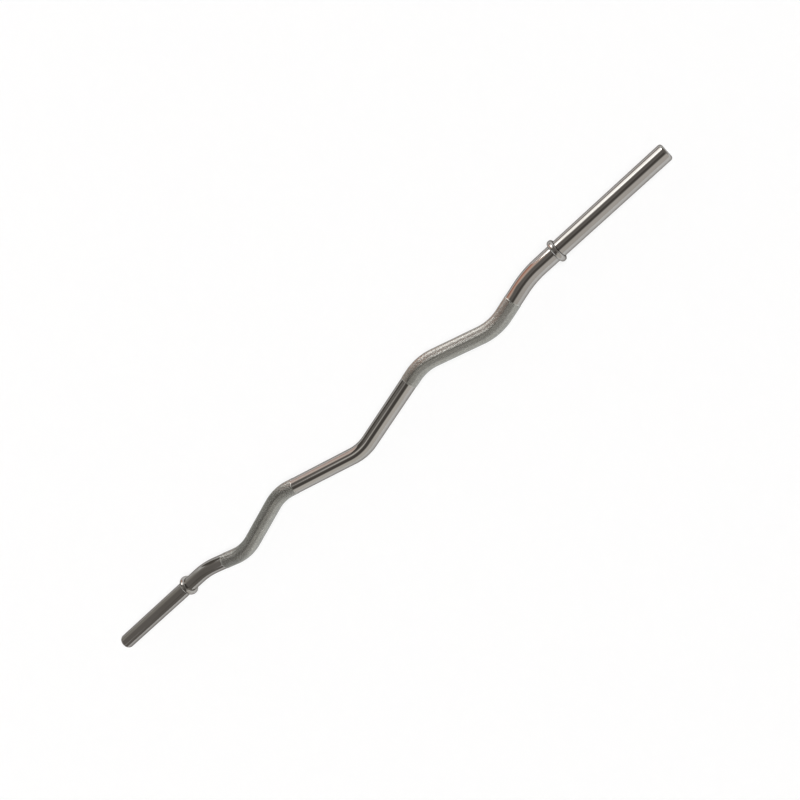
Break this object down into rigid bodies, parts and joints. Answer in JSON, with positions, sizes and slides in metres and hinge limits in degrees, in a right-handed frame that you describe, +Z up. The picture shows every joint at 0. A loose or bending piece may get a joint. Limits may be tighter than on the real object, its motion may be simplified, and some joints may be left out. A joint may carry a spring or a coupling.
{
  "type": "ez curl bar",
  "caption": "Chrome-plated one-piece curl bar with a zig-zag bent middle, knurled angled grips, fixed stop rings and plain round sleeves for weight plates.",
  "frame": {"origin": "on the floor, under the middle of the bar's box as it lies at rest", "axes": "+X along the sleeves towards the right end, +Y towards the side that the grip peaks point to, +Z up"},
  "size_m": [1.2, 0.058, 0.0348],
  "materials": {
    "bar_chrome": "bright chrome plate on steel, satin where the grips are knurled",
    "ring_chrome": "bright chrome plate on steel"
  },
  "bodies": {
    "root": {"bar": "bar_chrome", "left_stop_ring": "ring_chrome", "right_stop_ring": "ring_chrome"}
  },
  "joints": []
}
